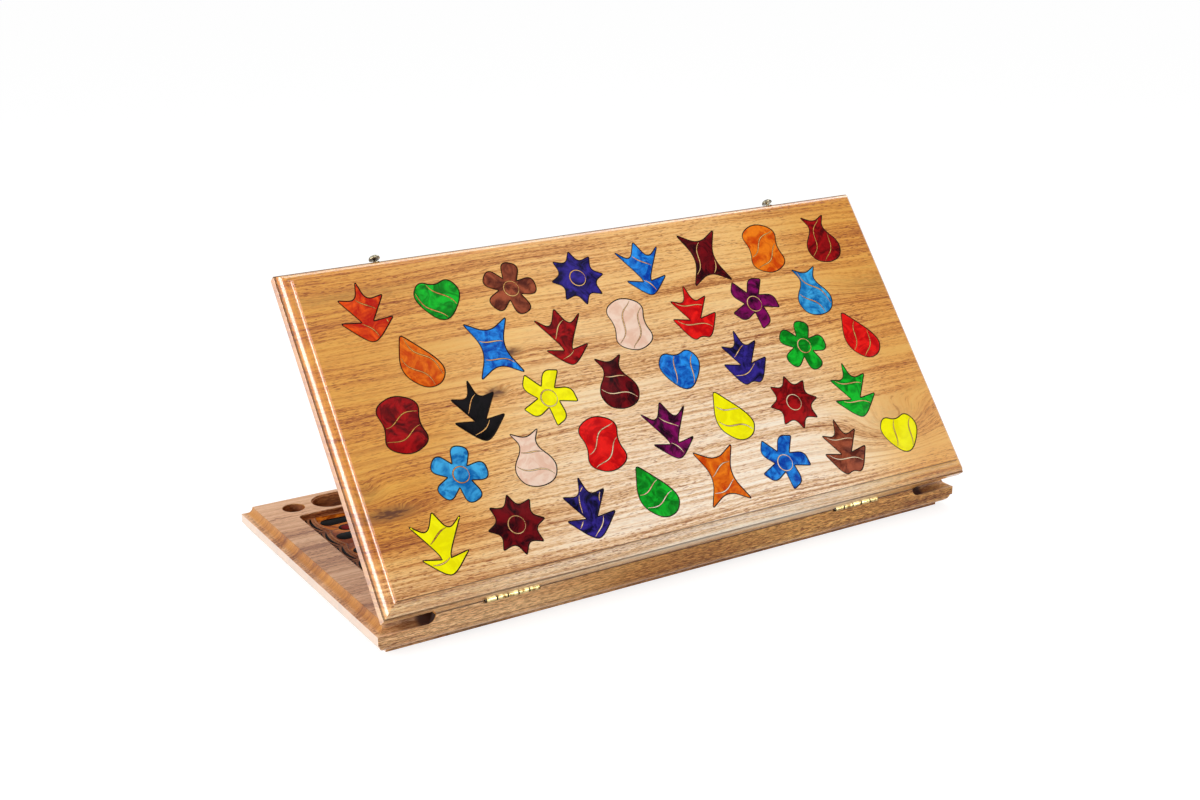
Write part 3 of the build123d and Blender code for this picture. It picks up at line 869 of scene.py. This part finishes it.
def rounded(loop):
    """Outline with its corners swept into curves. Narrow tips stay nearly sharp."""
    result = []
    for before, here, after in corners_of(loop):
        here = Vector(here)
        back = Vector(before) - here
        ahead = Vector(after) - here
        share, steps = TIP_CURVE if math.degrees(back.angle(ahead)) < SHARP_TIP else CORNER_CURVE
        start = here + back * share
        end = here + ahead * share
        for i in range(steps + 1):
            t = i / steps
            point = start * (1 - t) ** 2 + here * 2 * t * (1 - t) + end * t * t
            result.append((point.x, point.y))
    return result


def wavy_line(slant, offset):
    """Slanted, waved line across a motif of half width 1."""
    turn = Matrix.Rotation(math.radians(slant), 2)
    steps = [i / 40 - 1.25 for i in range(101)]
    return [turn @ Vector((t, offset + 0.14 * math.sin(3.2 * t + offset))) for t in steps]


def veins(motif, corners, number):
    """Thin lines of wood left standing across a motif, as runs of centre points inside it."""
    xs, ys = zip(*motif)
    middle = Vector(((min(xs) + max(xs)) / 2, (min(ys) + max(ys)) / 2))
    reach = (max(xs) - min(xs)) / 2
    if corners >= ROUND_MOTIF_CORNERS:
        angles = [2 * math.pi * i / VEIN_RING_STEPS for i in range(VEIN_RING_STEPS + 1)]
        paths = [[middle + VEIN_RING * reach * Vector((math.cos(a), math.sin(a))) for a in angles]]
    else:
        slant = VEIN_SLANTS[number % len(VEIN_SLANTS)]
        paths = [[middle + reach * point for point in wavy_line(slant, offset)] for offset in VEIN_OFFSETS]
    boxes = boxed([moved_in(motif, VEIN_MARGIN)])
    runs = []
    for path in paths:
        for within, points in groupby(path, lambda point: inside(point, boxes)):
            runs.append(list(points) if within else [])
    return [run for run in runs if len(run) >= SHORTEST_VEIN]


def burnt_rim(loop):
    """Charred slope from the wood down to the resin round a motif."""
    high = moved_in(loop, -BURNT_WIDTH)
    low = moved_in(loop, BURNT_WIDTH)
    vertices = [(x, y, -THICKNESS) for x, y in high] + [(x, y, -THICKNESS + BURNT_DEPTH) for x, y in low]
    return vertices, ring_faces(0, len(loop), len(loop))


def lid_inlays():
    """Resin, its burnt rims and wood veins, and the lid's outer face with the openings for them."""
    levels = [(inset, -THICKNESS + depth) for inset, depth in RESIN_LEVELS]
    openings, rims, lines, line_edges = [], [], [], []
    for colour, tones in RESINS.items():
        parts = []
        for corners in top_outlines(f"inlays_{colour}"):
            motif = rounded(corners)
            parts.append(slab(motif, levels))
            for run in veins(motif, len(corners), len(rims)):
                line_edges.append(ribbon(run, VEIN_WIDTH + VEIN_EDGE, VEIN_EDGE_LEVEL))
                lines.append(ribbon(run, VEIN_WIDTH, VEIN_LEVEL))
            rims.append(burnt_rim(motif))
            openings.append(moved_in(motif, -BURNT_WIDTH))
        name = f"resin_{colour}"
        piece = weld(name, "lid", resin(name, "lid", *tones), parts, UPPER)
        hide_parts(f"inlays_{colour}")
    x, y = OUTER_FACE
    points, triangles = filled([[(-x, -y), (x, -y), (x, y), (-x, y)]] + openings)
    plate = ([(px, py, -THICKNESS) for px, py in points], triangles)
    plain, soot = MATERIALS["lid_wood"], MATERIALS["char_and_slot_shade"]["lid"]
    weld("lid_outer_face", "lid", plain, [plate], UPPER)
    weld("inlay_rims", "lid", soot, rims, UPPER)
    weld("inlay_vein_edges", "lid", soot, line_edges, UPPER)
    weld("inlay_veins", "lid", plain, lines, UPPER)


# Carved points of the playing field, their outlines measured from the left end wall

FLOOR = -FIELD_DEPTH
CARVED_GLOSS = 0.01
FLAME_START, FLAME_LENGTH = 13 * MM, 186 * MM

# Teardrops as (start, radius, length)
SPEAR = (14 * MM, 7.8 * MM, 176 * MM)
PETAL_RIM = (24 * MM, 7 * MM, 96 * MM)
PETAL = (26 * MM, 5 * MM, 84 * MM)
JOINT_DROP = (3 * MM, 1.1 * MM, 7 * MM)

# Crescents and the raised band as (distance at a point's middle, distance at the joints, width)
CRESCENTS = ((0.5 * MM, 6.5 * MM, 3.2 * MM), (5.2 * MM, 10.4 * MM, 2.8 * MM))
CRESCENT_GAP = 1.2 * MM
BAND = (10 * MM, 14 * MM, 2.6 * MM)

# Rings of the reliefs from foot to top, as (inset, height over the floor) in millimetres
FLAME_RINGS = ((0, -0.05), (0, 0.04), (0.3, 0.08))
SPEAR_RINGS = ((0, 0), (0, 0.15), (0.5, 0.4), (1, 0.5))
PETAL_RIM_RINGS = ((0, 0), (0, 0.2), (0.3, 0.3))
PETAL_RINGS = ((0, 0), (0, 0.35), (0.5, 0.55), (1, 0.6))
CRESCENT_RINGS = ((0, 0), (0, 0.1), (0.2, 0.18))
BAND_RINGS = ((0, 0), (0, 0.6), (0.6, 1.0))


def teardrop(start, radius, length, y):
    """Round-butted, tapering outline along +X, counterclockwise."""
    turns = [math.radians(90 - 180 * i / 14) for i in range(15)]
    butt = [(start + radius - radius * math.cos(a), y + radius * math.sin(a)) for a in turns]
    sides = []
    for i in range(1, 20):
        s = i / 20
        sides.append((start + radius + (length - radius) * s, radius * (1 - s) ** 1.25))
    upper = [(x, y + r) for x, r in sides]
    lower = [(x, y - r) for x, r in sides]
    return counterclockwise(butt + lower + [(start + length, y)] + upper[::-1])


def crescent(near, far, thickness, y):
    """Black scallop from joint to joint."""
    half = POINT_PITCH / 2 - CRESCENT_GAP
    outer, inner = [], []
    for i in range(17):
        t = i / 8 - 1
        u = near + (far - near) * t * t
        swell = thickness * (1 - t * t) ** 0.7
        outer.append((u, y + half * t))
        inner.append((u + swell, y + half * t))
    return counterclockwise(inner + outer[::-1][1:-1])


def scallop_band(lines, near, far, width):
    """Raised band that follows the crescents along the whole end."""
    left, right = [], []
    half = POINT_PITCH / 2
    for y in lines:
        for i in range(16):
            t = i / 8 - 1
            u = near + (far - near) * t * t
            left.append((u, y + half * t))
            right.append((u + width, y + half * t))
    return counterclockwise(left + right[::-1])


def flame(y):
    """Amber ground of one point, from a broad foot to a tip."""
    side = []
    for i in range(25):
        s = i / 24
        side.append((FLAME_START + FLAME_LENGTH * s, POINT_PITCH / 2 * (1 - s) ** 1.15))
    return counterclockwise([(u, y - r) for u, r in side] + [(u, y + r) for u, r in side[::-1][1:]])


def both_ends(loops):
    """Outlines measured from the left end wall, copied to the right end."""
    left = [[(u - FIELD_END_WALL, y) for u, y in loop] for loop in loops]
    right = [[(FIELD_END_WALL - u, y) for u, y in loop[::-1]] for loop in loops]
    return left + right


def carved_points(half, body):
    """Both ends of the playing field of one half."""
    first = FIELD_HINGE_WALL + POINT_PITCH / 2
    lines = [first + i * POINT_PITCH for i in range(POINTS_PER_END)]
    joints = [first + (i + 0.5) * POINT_PITCH for i in range(POINTS_PER_END - 1)]
    black = resin(f"spear_resin_{half}", body, *SPEAR_TONES, gloss=CARVED_GLOSS)
    red = resin(f"petal_resin_{half}", body, *PETAL_TONES, gloss=CARVED_GLOSS)

    def relief(name, material, loops, rings):
        levels = [(inset * MM, FLOOR + height * MM) for inset, height in rings]
        parts = [slab(loop, levels) for loop in both_ends(loops)]
        return weld(f"{half}_{name}", body, material, parts, PLACES[body])

    relief("amber_ground", AMBER[body], [flame(y) for y in lines], FLAME_RINGS)
    spears = relief("spears", black, [teardrop(*SPEAR, y) for y in lines], SPEAR_RINGS)
    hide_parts(f"{half}_point_spears")
    relief("petal_rims", black, [teardrop(*PETAL_RIM, y) for y in joints], PETAL_RIM_RINGS)
    petals = relief("petals", red, [teardrop(*PETAL, y) for y in joints], PETAL_RINGS)
    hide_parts(f"{half}_point_petals")
    scallops = [crescent(*size, y) for y in lines for size in CRESCENTS]
    scallops += [teardrop(*JOINT_DROP, y) for y in joints]
    relief("crescents", black, scallops, CRESCENT_RINGS)
    relief("ridge", MATERIALS[f"{body}_wood"], [scallop_band(lines, *BAND)], BAND_RINGS)


# Hinges and latches

HINGE_EDGE = 0.3 * MM
FINE_EDGE = 0.15 * MM
TO_FREE_SIDE = Matrix.Rotation(math.radians(-90), 4, "X")
AXIS = 0.0001
SCREW_OFFSETS = (-14 * MM, 14 * MM)
SCREW_RADIUS, SCREW_HEIGHT = 2.3 * MM, 0.24 * MM
SLOT_REACH, SLOT_WIDTH, SLOT_LEVEL = 1.5 * MM, 0.7 * MM, 0.25 * MM

# Turned profiles as (radius, distance out from the board's side) in millimetres
STUD_PROFILE = (
    (1.5, -9), (1.5, 0), (3.8, 0), (3.8, 0.5), (3.5, 0.95), (2.2, 1.15), (1.6, 1.5), (1.45, 3.4),
    (1.8, 3.95), (4.6, 4.0), (5.0, 4.3), (4.95, 5.0), (4.5, 6.0), (3.6, 6.8), (2.3, 7.2), (1.0, 7.3),
    (AXIS, 7.3),
)
PIVOT_PROFILE = (
    (1.5, -9), (1.5, 0), (3.4, 0), (3.4, 1.0), (3.2, 1.15), (1.5, 1.2), (1.5, 2.6), (3.3, 2.6),
    (3.3, 3.3), (2.9, 3.8), (1.8, 4.15), (0.7, 4.2), (AXIS, 4.2),
)


def screw_head(radius, height):
    """Domed head on the plane z = 0."""
    shares = ((1, 0), (1, 0.4), (0.8, 0.85), (0.35, 1))
    profile = [(radius * wide, height * high) for wide, high in shares]
    return lathe(profile + [(AXIS * MM, height)], SCREW_SIDES)


def hinge_screws():
    """Two screws in each leaf, with crossed slots as flat near-black ribbons: painted shade where cut slots
    would be.
    """
    bar = ribbon([(share * SLOT_REACH, 0) for share in (-1, -0.5, 0, 0.5, 1)], SLOT_WIDTH, SLOT_LEVEL)
    for body, place in PLACES.items():
        heads, slots = [], []
        for side in (-1, 1):
            for offset in SCREW_OFFSETS:
                spot = Matrix.Translation((side * HINGE_X + offset, LEAF_MIDDLE, 0))
                heads.append(at(screw_head(SCREW_RADIUS, SCREW_HEIGHT), spot))
                for turn in (0, 90):
                    angle = math.radians(turn + 20 * offset / MM)
                    slots.append(at(bar, spot @ Matrix.Rotation(angle, 4, "Z")))
        weld(f"hinge_screws_{body}", body, MATERIALS["hinge_brass"][body], heads, place)
        # The slot ribbons carry painted shade in the near-black of the burnt edges
        weld(f"hinge_screw_slots_{body}", body, MATERIALS["char_and_slot_shade"][body], slots, place)


def hinges():
    for name in ("left", "right"):
        for leaf, body in (("lower", "base"), ("upper", "lid")):
            brass = MATERIALS["hinge_brass"][body]
            refined(f"hinge_{name}_{leaf}_leaf", body, brass, HINGE_EDGE)
        refined(f"hinge_{name}_pin", "base", MATERIALS["pin_steel"], FINE_EDGE)
    hinge_screws()


def turned(name, node, body, profile, spot):
    """Turned piece of a latch on the free side, shown in place of a CAD node."""
    parts = [lathe([(radius * MM, out * MM) for radius, out in profile])]
    material = MATERIALS["latch_metal"]
    piece = weld(name, body, material, parts, spot @ TO_FREE_SIDE, SHARP_TURNED_EDGE)
    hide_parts(node)


def latches():
    on_lid = LID_TURN @ Matrix.Translation((0, HALF_WIDTH, MATING_FACE["lid"] + LATCH_DEPTH))
    on_base = Matrix.Translation((0, HALF_WIDTH, THICKNESS - LATCH_DEPTH))
    for side, name in ((-1, "left"), (1, "right")):
        aside = Matrix.Translation((side * LATCH_X, 0, 0))
        turned(f"stud_{name}", f"latch_stud_{name}", "lid", STUD_PROFILE, on_lid @ aside)
        turned(f"pivot_{name}", f"hook_pivot_{name}", "base", PIVOT_PROFILE, on_base @ aside)
        refined(f"hook_{name}", f"hook_{name}", MATERIALS["latch_metal"], FINE_EDGE)


# Studio

FOCAL_PIXELS = 1693.5
PHOTO_WIDTH = 1200
SENSOR = 36
CAMERA_PLACE = (-0.77597, -1.2578, 0.61611)
YAW_PITCH_ROLL = (31.574, 18.594, -0.352)
WHITE = (1, 1, 1, 1)
ROOM_LIGHT = 0.56
FLOOR_GLOW = 1.34
GLOW_SHARE = 0.6

# Lamps as place, target, size, radiance, direction of the second side, and whether only for reflections
LID_RISE = LID_TURN.to_3x3() @ Vector((0, 1, 0))
LEFT_BEAM = ((-1.72, -0.03, 0.63), (-0.3, -0.06, 0.13))
ACROSS_VIEW = (0.84, 0.53, 0)
LAMPS = {
    "left_softbox": (*LEFT_BEAM, (0.7, 0.8), 8, LID_RISE, False),
    "left_sheen": (*LEFT_BEAM, (0.8, 1.1), 36, LID_RISE, True),
    "bead_sheen": ((0.95, -1.6, 0.35), (0.05, -0.15, 0.04), (0.3, 1.6), 8, ACROSS_VIEW, True),
    "rear_sheen": ((0.95, 1.05, 1.4), (0.05, 0.04, 0.27), (0.7, 1.6), 3, (1, 0, 0), True),
    "front_sheen": ((1.05, -1.35, 0.9), (0.05, -0.15, 0.05), (0.6, 1.4), 5, ACROSS_VIEW, True),
    "top_softbox": ((0.35, -0.5, 1.7), (0.05, 0, 0.1), (1.2, 1.2), 2.5, (0, 1, 0), False),
}


def camera():
    """Camera fitted to the photograph."""
    yaw, pitch, roll = map(math.radians, YAW_PITCH_ROLL)
    forward = Vector((math.sin(yaw) * math.cos(pitch), math.cos(yaw) * math.cos(pitch), -math.sin(pitch)))
    right = Vector((math.cos(yaw), -math.sin(yaw), 0))
    up = right.cross(forward)
    cosine, sine = math.cos(roll), math.sin(roll)
    data = bpy.data.cameras.new("photo_camera")
    data.sensor_width = SENSOR
    data.lens = FOCAL_PIXELS / PHOTO_WIDTH * SENSOR
    eye = placed("photo_camera", data)
    axes = Matrix((right * cosine + up * sine, up * cosine - right * sine, -forward)).transposed().to_4x4()
    eye.matrix_world = Matrix.Translation(CAMERA_PLACE) @ axes
    bpy.context.scene.camera = eye


def softbox(name, place, target, size, radiance, along, sheen_only):
    """Area lamp that faces its target, with its second side in line with a direction."""
    data = bpy.data.lights.new(name, "AREA")
    data.shape = "RECTANGLE"
    data.size, data.size_y = size
    data.energy = radiance * math.pi * size[0] * size[1]
    lamp = placed(name, data)
    lamp.visible_diffuse = not sheen_only
    back = (Vector(place) - Vector(target)).normalized()
    right = Vector(along).cross(back).normalized()
    axes = Matrix((right, back.cross(right), back)).transposed().to_4x4()
    lamp.matrix_world = Matrix.Translation(place) @ axes


def white_room():
    """World that is white to the camera and in reflections, and dimmer as a source of light."""
    world = bpy.data.worlds.new("white_room")
    world.use_nodes = True
    nodes, links = world.node_tree.nodes, world.node_tree.links
    background = nodes["Background"]
    background.inputs["Color"].default_value = WHITE
    path = nodes.new("ShaderNodeLightPath")
    seen = path.outputs["Is Camera Ray"]
    for ray in ("Is Transmission Ray", "Is Glossy Ray"):
        either = nodes.new("ShaderNodeMath")
        either.operation = "MAXIMUM"
        links.new(seen, either.inputs[0])
        links.new(path.outputs[ray], either.inputs[1])
        seen = either.outputs[0]
    strength = nodes.new("ShaderNodeMapRange")
    strength.inputs["To Min"].default_value = ROOM_LIGHT
    links.new(seen, strength.inputs["Value"])
    links.new(strength.outputs[0], background.inputs["Strength"])
    return world


def studio():
    scene = bpy.context.scene
    scene.view_settings.view_transform = "Standard"
    scene.world = white_room()
    for name, settings in LAMPS.items():
        softbox(name, *settings)


def floor():
    """White floor that keeps the shadow and looks evenly white to the camera."""
    half = 12.0
    mesh = bpy.data.meshes.new("floor")
    corners = [(-half, -half, 0), (half, -half, 0), (half, half, 0), (-half, half, 0)]
    mesh.from_pydata(corners, [], [(0, 1, 2, 3)])
    shader = Shader("floor_white")
    shader.finish(Base_Color=(0.82, 0.82, 0.82), Roughness=0.9, Specular_IOR_Level=0.0)
    glow = shader.add("ShaderNodeEmission", {"Color": WHITE, "Strength": FLOOR_GLOW})
    path = shader.add("ShaderNodeLightPath").outputs
    seen = shader.most(path["Is Camera Ray"], path["Is Glossy Ray"], path["Is Transmission Ray"])
    share = shader.times(seen, GLOW_SHARE)
    blend = shader.add("ShaderNodeMixShader", {0: share, 1: shader.surface.outputs[0], 2: glow.outputs[0]})
    shader.put(shader.tree.nodes["Material Output"].inputs["Surface"], blend.outputs[0])
    mesh.materials.append(shader.material)
    placed("floor", mesh)


board("lower_board", "base")
board("upper_board", "lid")
lid_inlays()
carved_points("lower", "base")
carved_points("upper", "lid")
hinges()
latches()
camera()
studio()
floor()
